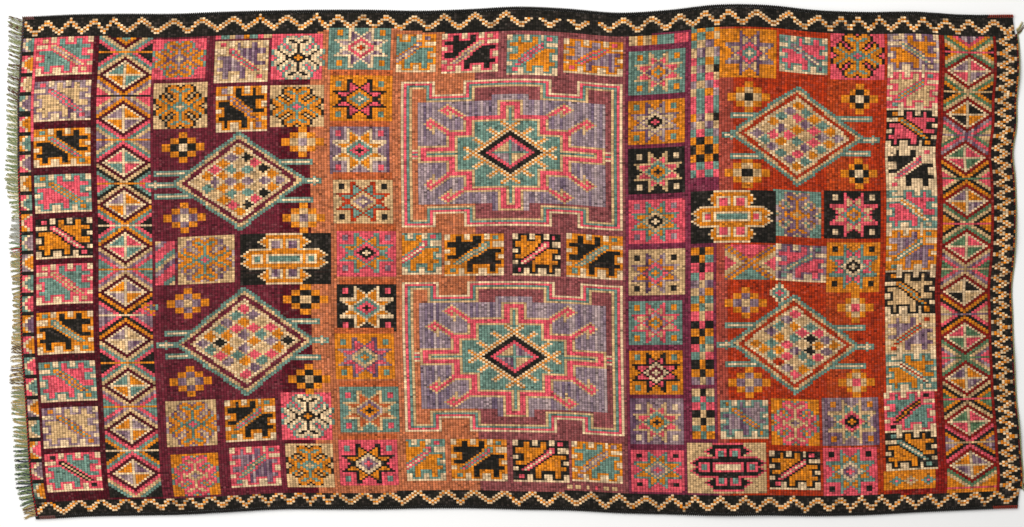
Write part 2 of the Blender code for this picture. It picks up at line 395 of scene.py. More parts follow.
COMBS_FRINGE = "ktbp pbkt oxtk tkot xokc ktbk oxtb tkop pbot ktxb".split()
FRINGE_TOPS = (10, 33, 58, 82, 105, 129, 154, 180, 204, 228)
FRINGE_ENDS = (30, 54, 78, 102, 126, 150, 176, 201, 225, 248)
for top, end, wools in zip(FRINGE_TOPS, FRINGE_ENDS, COMBS_FRINGE):
    lay_comb((5, 25), (top, end), wools)
COMBS_PLAIT = "pobt kbto xkot cxkp tkco optc xbot bprt tocr ktxo xotc".split()
PLAIT_TOPS = (9.5, 29.5, 50, 70, 91.5, 113, 135.3, 157.6, 178, 198.3, 219, 239.3)
for place, wools in enumerate(COMBS_PLAIT):
    first = 305 - (place > 8) - (place > 10)
    lay_comb((first, first + 18), PLAIT_TOPS[place:place + 2], wools, flip=place % 2 == 1)
fill((303, 321), (239, 249), "o")
print(len(COMBS_FRINGE) + len(COMBS_PLAIT), "combs in the two columns")

# %% Combs over, between and under the medallions, and in the two fields
CombBox = namedtuple("CombBox", "row end knot last wools flip")
COMB_BOXES = [CombBox(*plan_box(*row[:4]), *row[4:]) for row in (
    (148, 168, 11, 32, "kxbp", True),
    (171, 189, 13, 34, "tokp", True),
    (191, 211, 14, 32, "opkt", True),
    (149, 170, 117, 139, "oxtb", True),
    (173, 190.5, 117, 139, "xokc", True),
    (192, 212, 116, 139, "oxtb", True),
    (148.3, 168.5, 225, 247, "oxtk", True),
    (171, 190, 225, 247, "xokc", True),
    (191.4, 209.9, 225, 246, "otpb", True),
    (68, 87, 14, 36, "bpkt", False),
    (69, 87, 38, 62, "oxpo", False),
    (70, 88, 203, 225, "oxtk", True),
    (70, 88, 228, 249, "kptb", True),
    (266.2, 284, 13, 32.4, "tkpc", False),
    (267, 284, 121, 140, "pktb", True),
    (245, 262, 202, 222, "tpop", False),
    (261.6, 279.4, 228, 248, "xokc", True),
)]
for box in COMB_BOXES:
    lay_comb((box.row, box.end), (box.knot, box.last), box.wools, box.flip)
NARROW_COMBS = [(132, 11, 31, "otpc"), (134, 116, 138, "tokc"), (134, 225, 247, "tokc")]
for row, knot, last, wools in NARROW_COMBS:
    lay_comb((row, row + 14), (knot, last), wools, flip=True, first=5)
print(len(COMB_BOXES) + len(NARROW_COMBS), "more combs")

# %% [markdown]
# Eight-pointed stars
#
# The star is the same in all its eight points, so a rule makes it: a diamond in
# the middle, and four pairs of points that are cut off along the diagonals.
# A chart by hand would only repeat one eighth of it.

# %% The star by rule
def star_chart(rows, knots):
    """Ground g, points s, outline l, diamond in three steps 1 to 3, corner squares c."""
    across = np.abs(np.arange(rows) - rows // 2)[:, None] * 22 / (rows - 1) + np.zeros(knots)
    down = np.abs(np.arange(knots) - knots // 2) * 22 / (knots - 1) + np.zeros((rows, 1))
    away = across + down
    small, large = np.minimum(across, down), np.maximum(across, down)
    art = np.full(across.shape, "g")
    points = small < 4
    art[points & (large - small < 6)] = "s"
    art[points & (np.abs(large - small - 6.1) < 0.62)] = "l"
    art[(small >= 3.5) & (small < 4.6) & (large >= 3.5) & (large < 10.4)] = "l"
    art[away < 6.6] = "l"
    art[away < 5.5] = "1"
    art[away < 3.6] = "2"
    art[away < 1.3] = "3"
    art[(across > 6.6) & (across < 8.9) & (down > 6.6) & (down < 9.3)] = "c"
    return art


StarBox = namedtuple("StarBox", "row end knot last wools")
STAR_BOXES = [StarBox(*plan_box(*row[:4]), row[4]) for row in (
    (108, 130, 7, 30, "tpckcro"), (109, 131, 33, 57, "okxotct"),
    (110, 131, 60.5, 85, "poctkxk"), (110, 131, 87.5, 111, "btrbpcx"),
    (111, 132, 114.6, 139, "kotkxcp"), (112, 133, 143.1, 168.3, "xoctkxk"),
    (110.6, 131.6, 169.2, 192.9, "okpbtot"), (110.6, 131.4, 197, 221, "tzbpoxk"),
    (109, 130, 225.3, 249.2, "koxcpkt"), (214, 234, 18.7, 42.2, "tkbpoto"),
    (214.1, 234.1, 45.3, 68, "obpcxkt"), (215, 235, 70.4, 93.8, "xkbtoxc"),
    (213.7, 233.7, 97.2, 120.5, "kotbxcp"), (214.5, 234.5, 122.8, 147.2, "bopktox"),
    (215, 234.2, 150, 173, "tbkpoto"), (214.3, 233.6, 175.5, 198.5, "okxcmct"),
    (213.1, 232, 201.2, 225, "pkbtoxc"), (211.8, 230.8, 227.8, 249.8, "kotbpkx"),
    (246, 266, 11, 36, "obpktco"), (283.2, 303.3, 92, 116.6, "xbktopc"),
    (284, 303.4, 119, 144.6, "oktcxcx"), (281.6, 301.8, 200.4, 225.2, "ptbkxoo"),
    (280.8, 300, 226, 250.5, "kotcpkx"),
)]
for box in STAR_BOXES:
    if box.row < 120:
        fill((box.row, box.end), (box.knot - 3.5, box.knot), "z")
    fill((box.row, box.end), (box.knot, box.last), box.wools[0])
    rows, knots = odd(box.row, box.end), odd(box.knot, box.last)
    lay(star_chart(rows[1] - rows[0], knots[1] - knots[0]), rows, knots, "gsl123c", box.wools)
print(len(STAR_BOXES), "stars")

# %% [markdown]
# Flowers
#
# The flower has four quarters that mirror each other, so only one quarter is
# charted, and numpy mirrors it twice. The chart's g is the ground, which each
# box already has.

# %% The flower from one quarter
QUARTER = chart("""
gggggtootg
ggggtoooot
ggggtovvoo
ggggtoovvo
gggtgtooov
ggtotgtoov
tovootgtov
toovootoov
tooovooovv
gtooovovvc
ggtoovvvcc
""")
HALF = np.concatenate([QUARTER, QUARTER[-2::-1]], axis=0)
FLOWER = np.concatenate([HALF, HALF[:, -2::-1]], axis=1)
FlowerBox = namedtuple("FlowerBox", "row end knot last wools")
FLOWER_BOXES = [FlowerBox(*plan_box(*row[:4]), row[4]) for row in (
    (46, 65, 12, 33, "kotpb"),
    (88, 106, 11, 35, "kctxo"),
    (47, 66, 35, 59, "boxtb"),
    (88, 107, 38, 60.5, "boxtk"),
    (55, 75, 116, 141, "boptk"),
    (49, 67, 202, 226.5, "boptk"),
    (90, 108, 200.4, 225.3, "kctxo"),
    (49, 66, 230, 252, "oktbp"),
    (90, 107, 227, 250, "boxtb"),
    (284.7, 303.9, 9.4, 33.6, "koxtk"),
    (265.5, 282.5, 93, 117, "tpbob"),
    (263.4, 280.6, 201, 225.3, "oktbp"),
)]
for box in FLOWER_BOXES:
    fill((box.row, box.end), (box.knot, box.last), box.wools[0])
    rows = odd(box.row - 0.5, box.end + 0.5)
    lay(FLOWER, rows, odd(box.knot + 0.5, box.last - 0.5), "otvc", box.wools[1:])
print(len(FLOWER_BOXES), "flowers of", FLOWER.shape, "knots")

# %% [markdown]
# Stepped blocks
#
# Three long boxes hold a block with pointed ends and a smaller block above and
# below it. Its outlines run level, so it is a list of rules by distance.

# %% The stepped block by rule
def block_chart():
    """Ground g, band o, edge w, middle bar t, end squares n and upper squares q."""
    across, down = np.abs(centred(15, 13))
    art = np.full(across.shape, "g")
    slant = across + np.abs(down - 9)
    upper = (down >= 6) & (across <= 6)
    art[upper | ((down >= 6) & (slant < 9))] = "o"
    art[(down >= 6) & (slant == 9) & (across > 6)] = "w"
    art[(across >= 1) & (across <= 5) & (down >= 5) & (down <= 10)] = "w"
    art[(across >= 2) & (across <= 4) & (down >= 6) & (down <= 9)] = "q"
    art[(across <= 6) & (down == 13)] = "w"
    bar = (down <= 5) & (across <= 12)
    art[bar] = "o"
    art[bar & (down == 5) & (across >= 5)] = "w"
    inside = (down <= 2) & (across <= 11)
    art[inside] = "w"
    art[(down <= 1) & (across <= 5)] = "t"
    art[(down <= 2) & (across == 7)] = "o"
    art[(down <= 1) & (across >= 9) & (across <= 10)] = "n"
    art[(across == 13) & (down >= 1) & (down <= 3)] = "o"
    art[(across == 14) & (down == 2)] = "o"
    art[(across == 13) & ((down == 0) | (down == 4))] = "w"
    art[(across == 14) & ((down == 1) | (down == 3))] = "w"
    art[(across == 15) & (down == 2)] = "w"
    return art


BLOCK = block_chart()
BlockBox = namedtuple("BlockBox", "row end knot last wools")
BLOCK_BOXES = [BlockBox(*plan_box(*row[:4]), row[4]) for row in (
    (77, 109, 115.5, 142.7, "xocttp"),
    (236, 266, 93.5, 120.9, "xoctkk"),
    (232.8, 260.4, 224, 249.6, "bxkctt"),
)]
for box in BLOCK_BOXES:
    fill((box.row, box.end), (box.knot, box.last), box.wools[0])
    lay(BLOCK, odd(box.row, box.end), odd(box.knot, box.last), "gowtnq", box.wools)
print("stepped block of", BLOCK.shape, "knots")

# %% [markdown]
# Lozenge columns
#
# Near each end a column of lozenges runs across the rug. Each lozenge has a
# stepped dark edge, a row of cream dots, a cream cross and four quarters. The
# corners between are filled by slanting bands that mirror across a thin line.
# Both columns follow from the distance to the nearest lozenge's middle.

# %% Lozenges and slanting bands
Lozenges = namedtuple("Lozenges", "middle half last edge middles quarters line_wools bands cap")
LOZENGE_COLUMNS = [
    Lozenges(36, 9, 260, "d",
             (7, 30, 53, 76, 98, 120, 144, 169, 193, 216, 239),
             "toot poop kttk poop tkkt oppo pbbp toot oppo oppo".split(),
             "oxoococooco",
             "btkx opbk ktbp bxtk otkx bpkt oxkp btkx bpkt ktox kbtx".split(), "tktod"),
    Lozenges(333, 8, 249, "e",
             (8, 28, 51, 74, 97, 121, 145, 169, 191, 214, 237),
             "pkkp oxxo gkkg poop gkkg bxxb kggk poop gkkg oppo".split(),
             "kbpgkbpgkbk",
             "gbox bgox pkgb oxbk gbxo bpkg oxkb gbpk bxog kxop gboo".split(), "pppko"),
]
for group in LOZENGE_COLUMNS:
    middles = np.array(group.middles)
    column_rows = np.abs(row_of - group.middle) <= group.half
    inside = column_rows & (knot_of >= 9) & (knot_of < 252)
    nearest = np.abs(knot_of[..., None] - middles).argmin(axis=-1)
    across = row_of - group.middle
    down = knot_of - middles[nearest]
    away = np.abs(across) + np.abs(down)
    line = np.clip(nearest - (down < 0), 0, 10)
    between = np.append((middles[1:] + middles[:-1]) // 2, group.last)
    for number, wools in enumerate(group.bands):
        here = inside & (line == number)
        for step, wool in enumerate(wools):
            paint(here & (away >= 10 + 2 * step), wool)
        paint(here & (knot_of == between[number]), group.line_wools[number])
    paint(inside & (away >= 8) & (away <= 9), group.edge)
    for number, wools in enumerate(group.quarters):
        here = inside & (nearest == number + 1) & (away <= 6)
        for quarter, wool in enumerate(wools):
            right, lower = quarter % 2, quarter // 2
            paint(here & ((across > 0) == right) & ((down > 0) == lower), wool)
    paint(inside & ((away == 7) | ((away < 7) & ((across == 0) | (down == 0)))), "c")
    for step, wool in enumerate(group.cap):
        paint(inside & (nearest == 0) & (away // 2 == step), wool)
print("two columns of ten lozenges")

# %% [markdown]
# Rosettes
#
# A rosette is thirteen small blocks, each three knots square, in the shape of a
# diamond. The chart has one letter for each block.

# %% Rosettes from blocks of three knots
ROSETTE = chart("""
..1..
.121.
12321
.121.
..1..
""")
Rosette = namedtuple("Rosette", "row knot wools")
ROSETTES = [Rosette(plan_row(place + 0.5, knot), knot, wools) for place, knot, wools in (
    (57, 69, "oxc"), (57, 106, "opc"), (99, 68, "obp"), (99, 108, "obp"),
    (58, 151, "opb"), (58, 192, "opb"), (100, 150.6, "oxb"), (100, 193, "oxb"),
    (256, 46, "obx"), (256, 85, "obx"), (295.2, 44, "oxc"), (295.2, 83.4, "oxc"),
    (256.2, 152, "opb"), (256, 193, "opb"), (294.6, 153, "obk"), (294.2, 192, "obk"),
)]
for rosette in ROSETTES:
    half = 6.5 if rosette.row > 280 else 7.5
    rows = (rosette.row - half, rosette.row + half)
    knots = (rosette.knot - 8, rosette.knot + 8)
    lay(ROSETTE, rows, knots, "123", rosette.wools)
print(len(ROSETTES), "rosettes")

# %% [markdown]
# Stepped diamonds
#
# Four great diamonds lie in the two fields. Each has a teal and a beige edge, a
# line of the ground, and a lattice of six by six small cells with cream seams.
# The cells follow no rule, so they are charted: eleven levels, from the top
# cell down. Pairs of pins reach out to the left and right.

# %% Diamonds with their cells and pins
Diamond = namedtuple("Diamond", "row knot half_rows half_knots ground left right left_end right_end cells")


def straightened(diamond):
    """A diamond with its middle and its pins' ends moved to straight rows."""
    row, left_end, right_end = (
        plan_row(place, diamond.knot) for place in (diamond.row, diamond.left_end, diamond.right_end))
    return diamond._replace(row=row, left_end=round(left_end), right_end=round(right_end))


DIAMONDS = [straightened(Diamond(*row)) for row in (
    (77.3, 88, 24, 26.3, "m", (82, 94), (78, 98), 47, 103,
     "o px obk kttx ooobo bppppp toobo bttx obk kx o"),
    (78.5, 172.5, 25.2, 29.1, "m", (166, 178), (162, 181), 50, 105,
     "k tp pob tkkk oopto pxbopx topbo ktkk pot bp k"),
    (274.2, 64.6, 24.1, 26.3, "r", (55, 76), (54, 72), 250, 300,
     "o pt tko obpt bpoko pkkbpp totko pbpt tko pt o"),
    (273.4, 172.7, 23.4, 26.2, "r", (163, 183), (163, 183), 249, 299,
     "k pb tot pbkk botxp otkboo oopxp tktk rbt po k"),
)]
REACH = 25.2


def pin(start, end, knot, tip):
    """A pin of one cream row between two teal ones; the middle ones end in a small cross."""
    rows = (min(start, end), max(start, end))
    fill(rows, (knot - 1, knot + 2), "t")
    fill((rows[0] + 1, rows[1] - 1), (knot, knot + 1), "c")
    if tip:
        cross = end + (3 if end < start else -3)
        fill((cross, cross + 1), (knot - 2, knot + 3), "t")
        fill((cross, cross + 1), (knot - 1, knot + 2), "c")
        fill((cross - 1, cross + 2), (knot, knot + 1), "c")


for diamond in DIAMONDS:
    for pins, end in ((diamond.left, diamond.left_end), (diamond.right, diamond.right_end)):
        outward = math.copysign(1, end - diamond.row)
        for knot in pins:
            edge = diamond.half_rows * (1 - abs(knot - diamond.knot) / diamond.half_knots)
            pin(round(diamond.row + outward * (edge - 1)), end, knot, False)
        pin(round(diamond.row + outward * (diamond.half_rows - 2)), end + round(3 * outward),
            round(diamond.knot), True)
    across = (row_of + 0.5 - diamond.row) * REACH / diamond.half_rows
    down = (knot_of + 0.5 - diamond.knot) * REACH / diamond.half_knots
    away = np.abs(across) + np.abs(down)
    for limit, wool in ((25.2, "t"), (23.2, "b"), (21.8, diamond.ground), (19.5, "b")):
        paint(away <= limit, wool)
    paint((away <= 19.5) & ((row_of + knot_of) % 2 == 0), "c")
    seam = np.minimum(np.abs(np.mod(across + down + 3, 6) - 3), np.abs(np.mod(across - down + 3, 6) - 3))
    falling = np.clip(np.floor((across + down + 18) / 6), 0, 5).astype(int)
    rising = np.clip(np.floor((across - down + 18) / 6), 0, 5).astype(int)
    level = falling - rising + 5
    place = np.minimum(falling, rising)
    for number, wools in enumerate(diamond.cells.split()):
        for index, wool in enumerate(wools):
            paint((away <= 18) & (seam > 0.55) & (level == number) & (place == index), wool)
print(len(DIAMONDS), "diamonds")

# %% [markdown]
# Hooked medallions
#
# Two large boxes in the middle of the rug hold a stepped cross with hooks. The
# lines of the frame and of the cross always follow one another at one knot, so
# they needn't be drawn one by one: the outside of a shape is grown by a knot at
# a time, and each new ring is a line. The hooks are charted once and mirrored.

# %% Rings, and the frame with its notches
def grown(mask):
    """A mask made wider by one knot on all sides."""
    wide = np.pad(mask, 1, mode="edge")
    size = mask.shape
    return np.any([
        wide[x:x + size[0], y:y + size[1]] for x in range(3) for y in range(3)], axis=0)


def ring(art, outside, letters):
    """Draw a line of each letter round the inside of what isn't outside."""
    for letter in letters:
        wider = grown(outside)
        art[wider & ~outside] = letter
        outside = wider
    return outside


def medallion_chart():
    """Frame w k t b, ground g, lavender l, cross b k t, and the middle x k b p o c."""
    row, knot = centred(40, 41)
    across, down = np.abs(row), np.abs(knot)
    inner = np.where(row < 0, 17, 15)
    outer = np.where(row < 0, 27, 24)
    notch = (across >= inner) & (across < outer) & (down > 32)
    outside = (across > 39) | (down > 39) | notch
    art = np.full(row.shape, "g")
    art[(across <= 33) & (knot >= -28) & (knot <= 27)] = "l"
    art[(across <= 6) & (np.abs(knot) <= 31)] = "l"
    ring(art, outside, "wktb")
    art[outside] = "."
    cross = (across <= 33) & (down <= 4)
    for left, right, up, low in ((22, 21, 12, 12), (16, 13, 20, 21), (4, 4, 28, 31)):
        cross |= (row >= -left) & (row <= right) & (knot >= -up) & (knot <= low)
    art[cross] = "t"
    ring(art, ~cross, "bkkb")
    return art, row, knot


art, row, knot = medallion_chart()
print("medallion of", art.shape, "knots")

# %% The middle diamond, its crossing lines and barbs
across, down = np.abs(row), np.abs(knot)
away = across + down
for limit, letter in ((11, "x"), (8, "k"), (6, "b")):
    art[away <= limit] = letter
art[(away <= 6) & (row * knot < 0)] = "p"
art[(away <= 6) & ((row == 0) | (knot == 0))] = "t"
slope = np.abs(across - down)
for lean in (row + knot, row - knot):
    on_line = (np.abs(np.abs(lean) - 13) <= 1) & (away >= 12) & (away <= 19)
    art[on_line & (np.abs(lean) == 13)] = "o"
    art[on_line & (np.abs(lean) != 13)] = "c"
barb = (away >= 14) & (away <= 20) & (across >= 2) & (down >= 2)
art[barb & (slope == 5)] = "o"
art[barb & ((slope == 4) | (slope == 6))] = "c"

# %% The links to the frame and the eight hooks
link = (across >= 34) & (across <= 35)
for height, letter in ((2, "w"), (1, "k"), (0, "t")):
    art[link & (down == height)] = letter
HOOK = chart("""
...b.......
..bpb......
.bpppb.....
bppbppb....
.bppbppb...
..bpbbppb..
...bb.bppb.
....b..bppb
....b...bpp
.........pp
""")
for turn_row, first_row, first_knot in ((1, -31, -19), (1, -25, -27), (-1, -30, -19), (-1, -22, -27)):
    for turn_knot in (1, -1):
        for (x, y), letter in np.ndenumerate(HOOK):
            place = (40 + turn_row * (first_row + x), 41 + turn_knot * (first_knot + y))
            if letter != "." and art[place] in ("l", "b"):
                art[place] = "k" if letter == "p" else letter
MEDALLION = art[1:-1, 2:-2]
for first, top, end, spare in ((134, 36, 113, 9), (134, 142, 221, 68)):
    lay(np.delete(MEDALLION, spare, axis=0), (first, first + 78), (top, end), "wktblxpoc", "cktblxpoc")
print("two medallions with eight hooks each")

# %% [markdown]
# Checks, stripes and small fillings
#
# Narrow strips between the columns are filled with small squares of all the
# wools. They follow no rule either, so they are charted a square at a time.

# %% Checked strips
CHECKS_FAR = chart("""
toto otob tbpo bpbp ktot bpbx ktkb pbpk btop ktkt ktkt opbx pbpb tktp oxot xoxo oxox ktkt tktk
""")
for place in range(4):
    first, end = (236, 238, 241, 244, 246)[place:place + 2]
    squares = CHECKS_FAR[place][None, :]
    lay(squares, (first, end), (8, 87), LETTERS, LETTERS)
CHECKS_NEAR = chart("""
oxo xot kxk tkb pbp bpo tot otb kbk xkx oxo xot ktb tbk xox oxo pbp bxb tkt ktk xbx bxb tot oto
""")
lay(CHECKS_NEAR[:, :17], (236, 244), (123, 193.7), LETTERS, LETTERS)
lay(CHECKS_NEAR[:, 17:], (236, 244), (196.2, 222), LETTERS, LETTERS)
print(CHECKS_FAR.shape, "and", CHECKS_NEAR.shape, "squares")

# %% Small boxes with stripes, a crossed box, strips of scraps and a darn
stripes = np.mod(knot_of + row_of * 1.2, 14)
small = (row_of >= 47) & (row_of < 54) & (knot_of >= 118) & (knot_of < 141)
for first, wool in ((0, "k"), (3, "t"), (6, "b"), (8, "p"), (11, "k")):
    paint(small & (stripes >= first), wool)
crossed = (row_of >= 248) & (row_of < 266) & (knot_of >= 122) & (knot_of < 140)
across, down = np.abs(row_of - 256.5), np.abs(knot_of - 131)
paint(crossed, "t")
paint(crossed & (knot_of < 131) & (down > across), "k")
paint(crossed & (across > down + 2), "b")
paint(crossed & (across > down + 5), "k")
paint(crossed & (np.abs(across - down) <= 1.5), "o")
paint(crossed & (np.abs(across - down) <= 1.5) & ((row_of + knot_of) % 3 == 0), "p")
away = 1.5 * np.abs(row_of - 267) + np.abs(knot_of - 146)
for limit, wool in ((5.6, "c"), (4.1, "t"), (1.6, "k")):
    paint(away <= limit, wool)
for rows, knots, wools in (
    ((68, 88), (11, 13), "ktbpotkb"),
    ((214, 235), (11, 16), "bobottkk"),
    ((191, 209), (248, 250), "bvbvbvkvbvb"),
):
    lay(chart("\n".join(wools)).T, rows, knots, LETTERS, LETTERS)
for middle, wool in ((307, "t"), (312, "b"), (318, "t")):
    away = np.abs(row_of - middle) + np.abs(knot_of - 244)
    paint(away <= 2, wool)
    paint(away <= 0, "k")
DARN = chart("""
.okk..
ooopot
okpppt
.ootpt
kpkoo.
kkpok.
.pkko.
""")
lay(DARN, (42, 48), (150, 157), "okpt", "okpt")
print("small boxes filled")

# %% [markdown]
# Borders
#
# Black bands with a running zigzag close the rug on three sides. At the fringe
# end is a column of small triangles instead, between black bars.

# %% Triangles at the fringe end
CELLS = "pt ko kb tp ko ot kp bo kt ok tp po kt tk op ko tk kt po bt ok kp to".split()
BARS = np.interp(np.arange(-1, 23), (-1, 7, 11, 21, 22), (8, 91, 132.7, 241.6, 252.4))
for place, (outer, inner) in enumerate(CELLS):
    middle, half = (BARS[place] + BARS[place + 1]) / 2, (BARS[place + 1] - BARS[place]) / 2
    down = np.abs(knot_of + 0.5 - middle)
    here = (row_of < 4) & (down <= half)
    size = row_of * 1.3 + 0.4
    paint(here, outer)
    paint(here & (down <= size + 1.0), "c")
    paint(here & (down <= size - 0.4), inner)
    paint((row_of < 4) & (np.abs(down - half) <= 1.0), "x")
paint(row_of == 4, "d")
paint((row_of == 4) & (knot_of < 64), "k")
print(len(CELLS), "triangles")

# %% Zigzags along the long sides and the plaited end
FAR_PEAKS = (
    0, 8, 16.5, 25, 31.5, 41.5, 53, 63, 74, 83.5, 93, 103.5, 111, 120, 128, 138, 148.5, 159.5, 170.5,
    181, 191, 201.5, 212, 222, 232, 241, 249, 259, 270.5, 281, 289, 295, 302.5, 311, 318, 326, 334, 343, 352,
)
NEAR_PEAKS = [plan_row(place, 255) for place in (
    -4, 4, 15, 23, 32, 40.5, 48, 54.6, 62, 70.5, 78.6, 86.3, 94, 101, 107, 117, 125, 135.8, 146.2, 155.8,
    167, 176.6, 187, 197.7, 207.7, 217.2, 226.6, 234.6, 243.6, 252.5, 261.4, 269.6, 278.4, 286.4, 294,
    301, 309.2, 317.6, 326, 334.4, 342, 350,
)]
END_PEAKS = np.concatenate([np.arange(3.2, 142, 6.3), np.arange(147.6, 262, 5.8)])


def band(where, off, half):
    """A zigzag of ochre with cream on both sides, on black."""
    paint(where, "x")
    paint(where & (off < half), "c")
    paint(where & (off < half * 0.34), "o")


far_edge = np.interp(row_of, (0, 60, 104, 108, 132, 148, 190, 214, 236, 350),
                     (9.5, 10.5, 10, 8, 8, 10, 11, 10.5, 9, 9.5))
far_off = np.abs(knot_of + 0.5 - 4.8 - zigzag(row_of + 0.5, FAR_PEAKS, 3.1))
broken = (row_of >= 176) & (row_of < 206) & (knot_of < 4)
band(knot_of < far_edge, np.where(broken, 9, far_off), 1.5)
near_edge = np.interp(row_of, (0, 110, 150, 230, 300, 325, 350), (252, 252.5, 251.5, 250.5, 250.5, 252, 252))
near_off = np.abs(knot_of + 0.5 - 255.4 - zigzag(row_of + 0.5, NEAR_PEAKS, 2.9))
band(knot_of >= near_edge, near_off, 1.5)
end_off = np.abs(row_of + 0.5 - 346.5 + zigzag(knot_of + 0.5, END_PEAKS, 2.4))
band((row_of >= 343) & (knot_of >= 8) & (knot_of < 252), end_off, 1.75)
print("zigzags on three sides")

# %% [markdown]
# Uneven dye and painted shade in the folds
#
# No two knots are quite the same: each is a little lighter or darker, and each
# row took the dye a little differently, which makes the fine stripes across the
# rug. The rug was also folded, and along the folds and the crease some knots are
# painted darker, toward a dark brown, as the shade in the creases. The wool's
# colour for each knot is the plan's colour times these.

# %% Colour of every knot
FOLD_KNOT = 133.5
CREASE_ROW = 172
chance = np.random.default_rng(7)
dyes = np.array([linear(DYES[letter]) for letter in LETTERS])
wool = dyes[plan]
purple = np.isin(plan, [LETTERS.index(letter) for letter in "lp"])
knot_tone = 1 + chance.normal(0, 0.24, plan.shape)
row_tone = chance.normal(0, 0.07, (ROWS, 1))
drift = np.interp(np.arange(ROWS), np.arange(0, ROWS + 10, 10), chance.normal(0, 0.05, 36))
streak_start = chance.normal(0, 0.09, (ROWS, 14))
streaks = np.stack([
    np.interp(np.arange(KNOTS), np.linspace(0, KNOTS, 14), line) for line in streak_start])
tone = np.clip(knot_tone * (1 + row_tone + streaks) * (1 + drift[:, None]), 0.35, 1.7)
# Painted shade: along the fold and the crease these masks darken knots toward a dark brown, as the shade in
# the creases.
fold = np.exp(-((knot_of - FOLD_KNOT - 1.2 * np.sin(row_of / 40)) / 3.0) ** 2)
painted_fold_shade = fold * (knot_of % 2 == 0) * chance.uniform(0.1, 1.0, plan.shape)
crease = np.exp(-((row_of - CREASE_ROW) / 1.2) ** 2) * (knot_of % 3 == 0)
pale = np.array(linear("#a18b82"))
faded = chance.normal(0, 0.035, plan.shape) + purple * (0.34 + 2.2 * (row_tone + streaks))
faded = np.clip(faded, 0, 0.75)[..., None]
wool = wool * (1 - faded) + pale * faded
# The dark brown of the painted shade in the fold and the crease, mixed in below.
grey = np.array(linear("#3e2620"))
share = np.clip(0.5 * painted_fold_shade + 0.3 * crease, 0, 0.6)[..., None]
wool = np.clip(wool * tone[..., None], 0.002, 1.0)
wool = wool * (1 - share) + grey * share
print("mean colour", wool.mean(axis=(0, 1)).round(3))

# %% [markdown]
# The knotted pile and the woven back
#
# Cloth this thick has two faces to look at: the pile above and the backs of the
# knots below. Each is a slab of its own with a fine face and a coarse hidden
# one, so that each knot is one face of the mesh and both slabs stay light.
# A grid is raised into a slab with extrude, and its upper edges are subdivided
# with grid fill. Only then is it laid on the rug's outline.

# %% Helper that makes a slab with one fine face
COARSE_ROWS = 70
COARSE_KNOTS = 52
CUTS = 4


def slab_shape():
    """A flat slab from 0 to 1 with its upper face cut into one face for each knot."""
    shape = bmesh.new()
    bmesh.ops.create_grid(shape, x_segments=COARSE_ROWS, y_segments=COARSE_KNOTS, size=0.5)
    raised = bmesh.ops.extrude_face_region(shape, geom=shape.faces[:])["geom"]
    top = [item for item in raised if isinstance(item, bmesh.types.BMVert)]
    bmesh.ops.translate(shape, verts=shape.verts[:], vec=(0.5, 0.5, 0))
    bmesh.ops.translate(shape, verts=top, vec=(0, 0, 1))
    edges = [edge for edge in shape.edges if all(vertex.co.z > 0.5 for vertex in edge.verts)]
    bmesh.ops.subdivide_edges(shape, edges=edges, cuts=CUTS, use_grid_fill=True)
    bmesh.ops.recalc_face_normals(shape, faces=shape.faces[:])
    return shape


def slab_mesh(name, heights, turned):
    """Lay a slab on the outline. heights(along, across, fine) gives each point's height."""
    shape = slab_shape()
    if turned:
        bmesh.ops.reverse_faces(shape, faces=shape.faces[:])
    mesh = bpy.data.meshes.new(name)
    shape.to_mesh(mesh)
    shape.free()
    flat = np.zeros(len(mesh.vertices) * 3)
    mesh.vertices.foreach_get("co", flat)
    flat = flat.reshape(-1, 3)
    along, across, fine = flat[:, 0], 1 - flat[:, 1], flat[:, 2] > 0.5
    placed = rug_point(along, across)
    placed[:, 2] += heights(along, across, fine)
    loops = np.zeros(len(mesh.loops), int)
    mesh.loops.foreach_get("vertex_index", loops)
    shares = np.stack([along, 1 - across], axis=1)
    faces = np.zeros(len(mesh.polygons) * 3)
    mesh.polygons.foreach_get("center", faces)
    faces = faces.reshape(-1, 3)
    sizes = np.zeros(len(mesh.polygons), int)
    mesh.polygons.foreach_get("loop_total", sizes)
    add_maps(mesh, shares[loops], np.repeat(faces, sizes, axis=0))
    mesh.vertices.foreach_set("co", placed.astype(np.float32).ravel())
    mesh.update()
    return mesh


def add_maps(mesh, shares, faces):
    """Write the knot map, the flat map for baking and each knot's wool to the mesh."""
    knots = mesh.uv_layers.new(name="knots")
    knots.data.foreach_set("uv", shares.astype(np.float32).ravel())
    seen = faces[:, 2] > 0.99
    flat = np.where(seen[:, None], 0.03 + shares * 0.965, [[0.03, 0.002]] + shares * [[0.965, 0.02]])
    baking = mesh.uv_layers.new(name="OFBake")
    baking.data.foreach_set("uv", flat.astype(np.float32).ravel())
    rows = np.clip((faces[:, 0] * ROWS).astype(int), 0, ROWS - 1)
    knots_across = np.clip(((1 - faces[:, 1]) * KNOTS).astype(int), 0, KNOTS - 1)
    shade = np.ones((len(faces), 4), np.float32)
    shade[:, :3] = wool[rows, knots_across]
    dyed = mesh.color_attributes.new("wool", "FLOAT_COLOR", "CORNER")
    dyed.data.foreach_set("color", shade.ravel())


# %% Heights of the two slabs
GROUND_TOP = 0.0036
PILE_FOOT = 0.0034
PILE_TOP = 0.0080
relief = np.random.default_rng(3).normal(0, 1, (ROWS + 1, KNOTS + 1))


def edge_fall(along, across):
    """From 0 at the very edge of the rug to 1 two knots in."""
    rows_in = np.minimum(along, 1 - along) * ROWS
    knots_in = np.minimum(across, 1 - across) * KNOTS
    return np.clip(np.minimum(rows_in, knots_in) / 2, 0, 1) ** 0.5


def relief_at(along, across):
    """The uneven height of each knot, from its place."""
    rows = np.clip(np.round(along * ROWS).astype(int), 0, ROWS)
    knots = np.clip(np.round(across * KNOTS).astype(int), 0, KNOTS)
    return relief[rows, knots]


